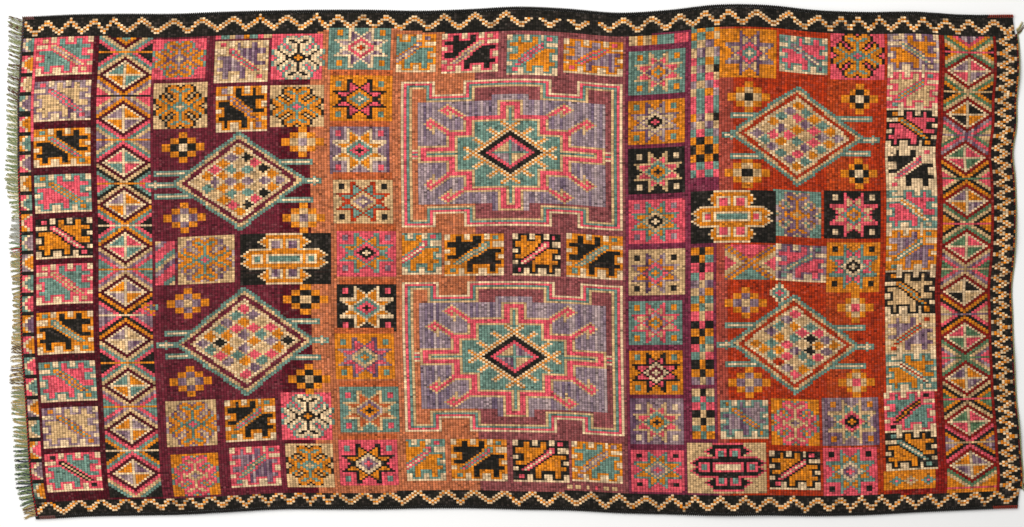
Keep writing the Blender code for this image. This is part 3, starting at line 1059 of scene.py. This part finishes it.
def pile_heights(along, across, fine):
    """Pile that is uneven by a fraction of a millimetre, flattened along the old folds."""
    fold = np.exp(-((across * KNOTS - FOLD_KNOT) / 3.0) ** 2)
    crease = np.exp(-((along * ROWS - CREASE_ROW) / 2.0) ** 2)
    wave = 0.0004 * np.sin(along * 61 + across * 7) * np.sin(across * 37 + along * 5)
    top = PILE_TOP - 0.0012 * fold - 0.0007 * crease + wave
    top = top + 0.00028 * relief_at(along, across)
    top = top - 0.0018 * (1 - edge_fall(along, across))
    return np.where(fine, top, PILE_FOOT)


def back_heights(along, across, fine):
    """The underside lies on the floor, with the knots' backs a little uneven."""
    low = 0.0001 + 0.00015 * np.abs(relief_at(along, across))
    low = low + 0.0006 * (1 - edge_fall(along, across))
    return np.where(fine, low, GROUND_TOP)


# %% [markdown]
# Wool as a material
#
# The fibre is sheep's wool, carded, spun by hand and dyed. It has no gloss of
# its own, but the fibre ends at the surface catch a soft light, which the
# shader gives with a high roughness and some sheen. Its ribs are one knot row
# wide (8.6 mm) and its loops one knot (5.8 mm), so the scale of the bump comes
# from the knot map. Fibre is about 0.04 mm thick, which would never show, so
# the fine noise is drawn about 1 mm wide.

# %% Node helper and the knotted wool
def add_node(tree, kind, settings=(), links=()):
    """Add a node, set its values by name or socket number, and link its inputs."""
    node = tree.nodes.new(kind)
    for name, value in dict(settings).items():
        if isinstance(name, str) and hasattr(node, name):
            setattr(node, name, value)
        else:
            node.inputs[name].default_value = value
    for name, socket in dict(links).items():
        tree.links.new(socket, node.inputs[name])
    return node


def wool_shader(name):
    """A wool material with its shader ready: matte, with the soft sheen of fibre ends."""
    material = bpy.data.materials.new(name)
    material.use_nodes = True
    shader = material.node_tree.nodes["Principled BSDF"]
    shader.inputs["Roughness"].default_value = 0.95
    shader.inputs["IOR"].default_value = 1.45
    shader.inputs["Specular IOR Level"].default_value = 0.15
    shader.inputs["Sheen Weight"].default_value = 0.05
    shader.inputs["Sheen Roughness"].default_value = 0.6
    return material, material.node_tree, shader


def knotted_wool(name, furrow_shade_level, depth):
    """Knots dyed by the wool attribute, with painted shade in the furrows between knot rows and painted light
    on the knots' tops; the number after the name says how dark the painted furrow is.
    """
    material, tree, shader = wool_shader(name)
    dyed = add_node(tree, "ShaderNodeAttribute", {"attribute_name": "wool"})
    knots = add_node(tree, "ShaderNodeUVMap", {"uv_map": "knots"})
    parts = add_node(tree, "ShaderNodeSeparateXYZ", links={0: knots.outputs[0]})
    waves = []
    for axis, count in (("X", ROWS), ("Y", KNOTS)):
        turn = add_node(tree, "ShaderNodeMath", {"operation": "MULTIPLY", 1: count * math.pi},
                        {0: parts.outputs[axis]})
        wave = add_node(tree, "ShaderNodeMath", {"operation": "SINE"}, {0: turn.outputs[0]})
        high = add_node(tree, "ShaderNodeMath", {"operation": "ABSOLUTE"}, {0: wave.outputs[0]})
        waves.append(high.outputs[0])
    across = add_node(tree, "ShaderNodeMath", {"operation": "MULTIPLY", 1: 0.6}, {0: waves[1]})
    loops = add_node(tree, "ShaderNodeMath", {"operation": "ADD"}, {0: waves[0], 1: across.outputs[0]})
    place = add_node(tree, "ShaderNodeTexCoord")
    fibre = add_node(tree, "ShaderNodeTexNoise", {"Scale": 900.0, "Detail": 2.0},
                     {"Vector": place.outputs["Object"]})
    tuft = add_node(tree, "ShaderNodeMath", {"operation": "MULTIPLY", 1: 0.9}, {0: fibre.outputs[0]})
    height = add_node(tree, "ShaderNodeMath", {"operation": "ADD"}, {0: loops.outputs[0], 1: tuft.outputs[0]})
    bump = add_node(tree, "ShaderNodeBump", {"Strength": 0.55, "Distance": depth},
                    {"Height": height.outputs[0]})
    # Painted shade and light: the knot waves darken the colour in the furrows between rows and lighten it on
    # the knots' tops.
    painted_knot_shading = add_node(
        tree, "ShaderNodeMapRange", {"From Min": 0.0, "From Max": 1.15, "To Min": furrow_shade_level, "To Max": 1.21},
        {"Value": loops.outputs[0]})
    shade = add_node(
        tree, "ShaderNodeMapRange", {"From Min": 0.3, "From Max": 0.7, "To Min": 0.82, "To Max": 1.16},
        {"Value": fibre.outputs[0]})
    both = add_node(tree, "ShaderNodeMath", {"operation": "MULTIPLY"},
                    {0: painted_knot_shading.outputs[0], 1: shade.outputs[0]})
    colour = add_node(tree, "ShaderNodeVectorMath", {"operation": "SCALE"},
                      {0: dyed.outputs["Color"], "Scale": both.outputs[0]})
    tree.links.new(colour.outputs[0], shader.inputs["Base Color"])
    tree.links.new(bump.outputs[0], shader.inputs["Normal"])
    return material


# The first number is how dark the shade is painted in the furrows, the second the bump's depth.
pile_wool = knotted_wool("sheep_wool_knotted_pile", 0.2, 0.0018)
back_wool = knotted_wool("sheep_wool_knot_backs", 0.5, 0.0007)
print("materials:", pile_wool.name, back_wool.name)

# %% The two slabs
def add_piece(name, data, materials):
    """Link mesh or curve data as a named object with its materials."""
    for material in materials:
        data.materials.append(material)
    item = bpy.data.objects.new(name, data)
    bpy.context.scene.collection.objects.link(item)
    return item


pile = add_piece("rug_pile", slab_mesh("rug_pile", pile_heights, False), [pile_wool])
back = add_piece("rug_back", slab_mesh("rug_back", back_heights, True), [back_wool])
for item in (pile, back):
    item.data.calc_loop_triangles()
    print(item.name, len(item.data.loop_triangles), "triangles")

# %% [markdown]
# Yarns and cords
#
# Along each long edge a yarn is wound round and round the edge. At the fringe
# end two yarns are twined into a cord, and the fringe is what is left of the
# warp, plied and frayed. All are yarns that turn round a line, so one helper
# makes the turning line, and a curve with a round bevel gives it thickness.
# A curve is lighter to make than hundreds of joined tubes, and each spline can
# carry its own dye. It is turned into a mesh at the end.

# %% Plain dyed yarns
YARNS = {
    "black": "#1e1b17", "brown": "#5c3f2e", "mauve": "#7a4a44", "brick": "#8e2e1c",
    "olive": "#8f9268", "green": "#76865e", "golden": "#b59a62", "cream": "#d6c8a4",
    "grey": "#a9a89c", "navy": "#2c2c3c", "red": "#a01c22", "orange": "#d0721e",
    "dark_red": "#6a1412", "dun": "#8d8062",
}


def plied_wool(name, hex_value):
    """Spun and plied wool: one dye, with a little unevenness that shows the fibre."""
    material, tree, shader = wool_shader(name)
    place = add_node(tree, "ShaderNodeTexCoord")
    fibre = add_node(tree, "ShaderNodeTexNoise", {"Scale": 420.0, "Detail": 2.0},
                     {"Vector": place.outputs["Object"]})
    shade = add_node(
        tree, "ShaderNodeMapRange", {"From Min": 0.25, "From Max": 0.75, "To Min": 0.7, "To Max": 1.3},
        {"Value": fibre.outputs[0]})
    colour = add_node(tree, "ShaderNodeVectorMath",
                      {"operation": "SCALE", 0: linear(hex_value)}, {"Scale": shade.outputs[0]})
    bump = add_node(tree, "ShaderNodeBump", {"Strength": 0.4, "Distance": 0.0006},
                    {"Height": fibre.outputs[0]})
    tree.links.new(colour.outputs[0], shader.inputs["Base Color"])
    tree.links.new(bump.outputs[0], shader.inputs["Normal"])
    return material


YARN_NAMES = list(YARNS)
yarn_materials = [plied_wool("plied_wool_" + name, YARNS[name]) for name in YARN_NAMES]
print(len(yarn_materials), "yarns")

# %% Helpers for lines and for yarns that turn round them
def spaced(line, step):
    """Points at even steps along a line."""
    legs = np.linalg.norm(np.diff(line, axis=0), axis=1)
    along = np.concatenate([[0], np.cumsum(legs)])
    count = max(2, int(along[-1] / step) + 1)
    places = np.linspace(0, along[-1], count)
    return np.stack([np.interp(places, along, line[:, axis]) for axis in range(3)], axis=1)


def sideways(line):
    """Level normals to the left of a line, at each point."""
    heading = np.gradient(line, axis=0)
    side = np.stack([-heading[:, 1], heading[:, 0], np.zeros(len(line))], axis=1)
    return side / np.linalg.norm(side, axis=1)[:, None]


def turning(line, radius, turns, phase=0.0):
    """Points that turn round a line; radius may be one number or one for each point."""
    side = sideways(line)
    heading = np.gradient(line, axis=0)
    heading /= np.linalg.norm(heading, axis=1)[:, None]
    above = np.cross(heading, side)
    angle = np.linspace(0, 2 * math.pi * turns, len(line)) + phase
    reach = np.broadcast_to(radius, len(line))[:, None]
    return line + reach * (np.cos(angle)[:, None] * side + np.sin(angle)[:, None] * above)


def new_yarns(name, thickness, sides):
    """An empty curve whose splines become round yarns."""
    curve = bpy.data.curves.new(name, "CURVE")
    curve.dimensions = "3D"
    curve.bevel_depth = thickness
    curve.bevel_resolution = sides
    curve.use_fill_caps = True
    for material in yarn_materials:
        curve.materials.append(material)
    return curve


def add_yarn(curve, points, yarn, taper=None):
    """One spline along the points, in one dye."""
    spline = curve.splines.new("POLY")
    spline.points.add(len(points) - 1)
    spline.points.foreach_set("co", np.c_[points, np.ones(len(points))].astype(np.float32).ravel())
    if taper is not None:
        spline.points.foreach_set("radius", np.asarray(taper, np.float32))
    spline.use_smooth = True
    spline.material_index = YARN_NAMES.index(yarn)


def finished(curve):
    """Turn a curve of yarns into a mesh piece with every yarn material."""
    holder = bpy.data.objects.new(curve.name + "_line", curve)
    bpy.context.scene.collection.objects.link(holder)
    bpy.context.view_layer.update()
    mesh = bpy.data.meshes.new_from_object(holder.evaluated_get(bpy.context.evaluated_depsgraph_get()))
    bpy.data.objects.remove(holder)
    item = add_piece(curve.name, mesh, [])
    mesh.calc_loop_triangles()
    print(item.name, len(mesh.loop_triangles), "triangles")
    return item


# %% [markdown]
# The overcast edges
#
# The edge cord is a bundle of warps with wool wound round it, about one turn
# in 6 mm. Most of it is black, and both ends were done with other wools. A core
# keeps the light from showing through the turns.

# %% Far and near edge cords
CORD_CORE = 0.0030
WRAP = 0.0019
WRAP_PITCH = 0.0062


def edge_line(across, reach):
    """Middle line of a cord beside a long edge, from the fringe end on."""
    along = np.linspace(0, 1, 161)
    edge = rug_point(along, np.full(161, across))
    first = edge[0] + (edge[0] - edge[1]) / np.linalg.norm(edge[0] - edge[1]) * 0.0063
    edge = np.concatenate([[first], edge])
    return edge + sideways(edge) * reach


def overcast_cord(name, across, turn, zones):
    """A cord with wool wound round it; zones are the shares where each dye ends."""
    radius = CORD_CORE + WRAP * 0.7
    line = edge_line(across, turn * (SEAM_GAP + radius))
    line[:, 2] += radius + WRAP
    curve = new_yarns(name, WRAP, 0)
    core = spaced(line, 0.03)
    add_yarn(curve, core, "black", np.full(len(core), CORD_CORE / WRAP))
    fine = spaced(line, WRAP_PITCH / 7)
    turns = len(fine) / 7
    wound = turning(fine, radius, turns)
    start = 0
    for end, yarn in zones:
        last = int(end * len(wound))
        add_yarn(curve, wound[start:last + 1], yarn)
        start = last
    return finished(curve)


far_cord = overcast_cord("far_edge_cord", 0.0, 1, (
    (0.004, "brown"), (0.012, "mauve"), (0.975, "black"), (1.0, "brick")))
near_cord = overcast_cord("near_edge_cord", 1.0, -1, (
    (0.003, "black"), (0.02, "mauve"), (0.975, "black"), (1.0, "brick")))

# %% [markdown]
# The twined cord and the fringe
#
# Two yarns, a red one and a black one, are twined across the fringe end, so
# that they show by turns. The fringe is the loose warp: two plies to a yarn,
# three or four yarns that lean together, and ends that came apart. Colour and
# length change along the end, in short tables with even steps.

# %% Twined cord at the fringe end
END_STEPS = 241
TWINE_RADIUS = 0.0019
TWINE_TURN = 0.0017
TWINE_PITCH = 0.0105


def end_line(along, reach):
    """A line beside an end of the cloth, from the far corner to the near one."""
    across = np.linspace(0.001, 0.999, END_STEPS)
    edge = rug_point(np.full(END_STEPS, along), across)
    return edge + sideways(edge) * reach


twine = new_yarns("twined_end_cord", TWINE_RADIUS, 0)
line = end_line(0.0, -(SEAM_GAP + TWINE_RADIUS + TWINE_TURN))
line[:, 2] += TWINE_RADIUS + TWINE_TURN + 0.0002
line = spaced(line, TWINE_PITCH / 8)
for phase, yarns in ((0.0, ("brown", "red")), (math.pi, ("navy", "black"))):
    wound = turning(line, TWINE_TURN, len(line) / 8, phase)
    part = int(0.3 * len(wound))
    add_yarn(twine, wound[:part + 1], yarns[0])
    add_yarn(twine, wound[part:], yarns[1])
twined_cord = finished(twine)

# %% Fringe yarns
FringeStep = namedtuple("FringeStep", "length lean fullness")
FRINGE = [FringeStep(*row) for row in (
    (44, 14, 1.0), (38, 10, 0.9), (36, 9, 1.0), (34, 10, 1.0), (35, 8, 1.0),
    (36, 6, 1.0), (41, 5, 1.0), (24, 1, 0.6), (33, 0, 1.0), (30, -2, 1.0),
    (25, 0, 0.9), (26, 2, 0.9), (33, 1, 1.0), (42, 1, 1.0), (42, 3, 1.0),
    (43, 8, 1.0), (43, 2, 0.8), (44, 1, 0.8), (36, -12, 0.7),
)]
FringeDye = namedtuple("FringeDye", "end yarns")
FRINGE_DYES = [FringeDye(*row) for row in (
    (0.18, ("olive", "grey", "olive", "brown")),
    (0.40, ("green", "olive", "olive", "cream")),
    (0.45, ("grey", "dun", "grey", "grey")),
    (0.47, ("red", "grey", "green", "olive")),
    (0.65, ("golden", "olive", "golden", "dun")),
    (0.75, ("golden", "dun", "brown", "cream")),
    (0.86, ("green", "golden", "olive", "golden")),
    (0.975, ("green", "olive", "navy", "green")),
    (1.01, ("golden", "brown", "golden", "dun")),
)]
FRINGE_COUNT = 330
PLY = 0.0014
BUNCH = 3


tuft_dice = random.Random(11)
TUFT_LEANS = [tuft_dice.uniform(-0.004, 0.004) for _ in range(FRINGE_COUNT // BUNCH + 1)]


def dyes_at(across):
    """The yarns in use at a share of the width."""
    return next(step.yarns for step in FRINGE_DYES if across < step.end)


def fringe_path(number, dice):
    """The line of one yarn of the fringe, from its root out to its tip."""
    across = (number + 0.5) / FRINGE_COUNT
    length = float(smooth_value(column(FRINGE, "length"), across)) / 1000 * dice.uniform(0.9, 1.15)
    lean = float(smooth_value(column(FRINGE, "lean"), across)) / 1000
    middle = (number // BUNCH * BUNCH + BUNCH / 2) / FRINGE_COUNT
    gather = (across - middle) * BODY_WIDTH * dice.uniform(0.5, 0.9)
    lean += gather + TUFT_LEANS[number // BUNCH] + dice.uniform(-0.0018, 0.0018)
    curl = dice.uniform(-0.002, 0.002)
    near, far = rug_point(0.0, across), rug_point(0.0, min(across + 0.01, 1.0))
    if across > 0.985:
        near, far = rug_point(0.0, across), rug_point(0.0, across) * 2 - rug_point(0.0, across - 0.01)
    heading = far - near
    out = np.array([heading[1], -heading[0], 0.0])
    out /= np.linalg.norm(out)
    share = np.linspace(0, 1, 15)
    path = near + out * (0.0045 + (length - 0.001) * share[:, None])
    path[:, 1] += lean * share ** 1.5 + curl * np.sin(share * math.pi)
    path[:, 2] = near[2] * (1 - share) + 0.0030 * (1 - share) + 0.0013 * share
    path[:, 2] += dice.uniform(0, 0.0016) * np.sin(share * math.pi)
    return path


fringe = new_yarns("fringe_yarns", PLY, 0)
dice = random.Random(5)
for number in range(FRINGE_COUNT):
    path = fringe_path(number, dice)
    yarns = dyes_at((number + 0.5) / FRINGE_COUNT)
    share = np.linspace(0, 1, len(path))
    apart = np.clip((share - 0.72) / 0.28, 0, 1)
    phase = dice.uniform(0, math.pi)
    for ply in (0, 1):
        reach = PLY * 0.8 * (1 + 1.6 * apart * dice.uniform(0.4, 1.6))
        points = turning(path, reach, 2.3, phase + math.pi * ply)
        points[:, 2] = np.maximum(points[:, 2], PLY)
        add_yarn(fringe, points, dice.choice(yarns), 1 - 0.45 * apart)
fringe_piece = finished(fringe)

# %% [markdown]
# The plaited end
#
# The other end is finished by a row of overcast stitches in dark red, black and
# orange, and beside it an olive cord. Near both corners the cord's ends come
# loose in a small tuft, and the near one has a red knot.

# %% Overcast stitches and outer cord
STITCH = 0.0017
STITCH_PITCH = 0.0050
OUTER_PLY = 0.0013
OUTER_PITCH = 0.009
stitches = new_yarns("end_stitches", STITCH, 0)
line = end_line(1.0, SEAM_GAP + 0.0030)[8:-8]
line[:, 2] += 0.0036
fine = spaced(line, STITCH_PITCH / 6)
core = spaced(line, 0.03)
add_yarn(stitches, core, "black", np.full(len(core), 1.2))
wound = turning(fine, 0.0019, len(fine) / 6)
dice = random.Random(9)
start = 0
while start < len(wound) - 1:
    yarn = dice.choice(("orange", "dark_red", "black", "dark_red"))
    last = min(len(wound) - 1, start + 6 * dice.choice((1, 2)))
    add_yarn(stitches, wound[start:last + 1], yarn)
    start = last
end_stitches = finished(stitches)
outer = new_yarns("end_outer_cord", OUTER_PLY, 0)
line = end_line(1.0, SEAM_GAP + 0.0079)[8:-8]
line[:, 2] += 0.0028
line = spaced(line, OUTER_PITCH / 6)
for ply, yarn in enumerate(("olive", "dun", "olive")):
    add_yarn(outer, turning(line, 0.0014, len(line) / 6, ply * 2 * math.pi / 3), yarn)

# %% Loose ends near the two corners
LooseEnd = namedtuple("LooseEnd", "across out far yarn")
LOOSE_ENDS = [LooseEnd(*row) for row in (
    (0.023, 17, 23, "cream"), (0.026, 20, 25, "olive"), (0.029, 22, 22, "dun"),
    (0.032, 21, 19, "brown"), (0.034, 15, 12, "olive"), (0.025, 15, 18, "golden"),
    (0.966, 11, -14, "olive"), (0.962, 13, -12, "green"), (0.958, 11, -9, "black"),
    (0.955, 9, -6, "red"),
)]
for end in LOOSE_ENDS:
    root = rug_point(1.0, end.across) + np.array([0.0075, 0, 0])
    share = np.linspace(0, 1, 13)
    path = root + np.outer(share, [end.out / 1000, 0, 0])
    path[:, 1] += end.far / 1000 * share ** 1.6
    path[:, 2] = (root[2] + 0.0030) * (1 - share) + 0.0014 * share
    for ply in (0, 1):
        add_yarn(outer, turning(path, 0.0011, 2.5, math.pi * ply), end.yarn, 1 - 0.5 * share ** 3)
outer_cord = finished(outer)

# %% [markdown]
# What each piece stands for
#
# Each piece rides on the rug and takes the place of one of its solids. The
# woven back is the cloth itself, cut to the rug's flat size, and the other
# pieces are on it.

# %% Hang the pieces under the root and hide the solids they replace
PIECES = [
    (pile, "rug_body", "knotted_wool"),
    (back, "rug_body", "knotted_wool"),
    (far_cord, "selvedge_far", "overcast_wool"),
    (near_cord, "selvedge_near", "overcast_wool"),
    (twined_cord, "fringe_left", "fringe_yarn"),
    (fringe_piece, "fringe_left", "fringe_yarn"),
    (end_stitches, "end_plait_right", "plaited_wool"),
    (outer_cord, "end_plait_right", "plaited_wool"),
]
for item, node, slot in PIECES:
    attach(item, "root")
    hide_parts(node)
print(len(PIECES), "pieces")

# %% [markdown]
# Floor, light and camera
#
# The rug was photographed flat, from straight above, on white. A pale matte
# floor and one broad soft light over the whole rug give that even look, with
# only a faint shadow at the edges. The camera is far away with a long lens, so
# that the rug's outline isn't bent.

# %% Stage
def plain_paint(name, hex_value, roughness):
    """Matte wall paint for the floor."""
    material = bpy.data.materials.new(name)
    material.use_nodes = True
    shader = material.node_tree.nodes["Principled BSDF"]
    shader.inputs["Base Color"].default_value = (*linear(hex_value), 1)
    shader.inputs["Roughness"].default_value = roughness
    return material


shape = bmesh.new()
bmesh.ops.create_grid(shape, x_segments=1, y_segments=1, size=20)
floor_mesh = bpy.data.meshes.new("floor")
shape.to_mesh(floor_mesh)
shape.free()
floor = add_piece("floor", floor_mesh, [plain_paint("matte_white_paint", "#f4f3f1", 0.9)])
floor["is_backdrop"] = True

world = bpy.data.worlds.new("studio")
world.use_nodes = True
world.node_tree.nodes["Background"].inputs["Color"].default_value = (1, 1, 1, 1)
world.node_tree.nodes["Background"].inputs["Strength"].default_value = 0.5
bpy.context.scene.world = world
bpy.context.scene.view_settings.view_transform = "Standard"

soft_box = bpy.data.lights.new("soft_box", "AREA")
soft_box.shape = "RECTANGLE"
soft_box.size = 5.0
soft_box.size_y = 3.0
soft_box.energy = 174
lamp = bpy.data.objects.new("soft_box", soft_box)
lamp.location = (-1.2, 1.4, 3.6)
lamp.rotation_euler = (Vector((0, 0, 0)) - lamp.location).to_track_quat("-Z", "Y").to_euler()
bpy.context.scene.collection.objects.link(lamp)

# %% Camera
PIXEL = 0.00305
WIDTH_SEEN = 1024 * PIXEL
LENS = 85.0
view = bpy.data.cameras.new("camera")
view.lens = LENS
view.sensor_width = 36.0
camera = bpy.data.objects.new("camera", view)
distance = WIDTH_SEEN * LENS / 36.0
camera.location = (SHIFT[0] - 6.6 * PIXEL, SHIFT[1] - 2.0 * PIXEL, distance)
bpy.context.scene.collection.objects.link(camera)
bpy.context.scene.camera = camera
print("camera at", [round(value, 3) for value in camera.location])

# %% Print the sizes and finish
dressed_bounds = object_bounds()
sizes = {
    "solids": [list(corner) for corner in solid_bounds],
    "dressed": [list(corner) for corner in dressed_bounds],
}
for name, (low, high) in sizes.items():
    print(name, [round(top - bottom, 4) for bottom, top in zip(low, high)])
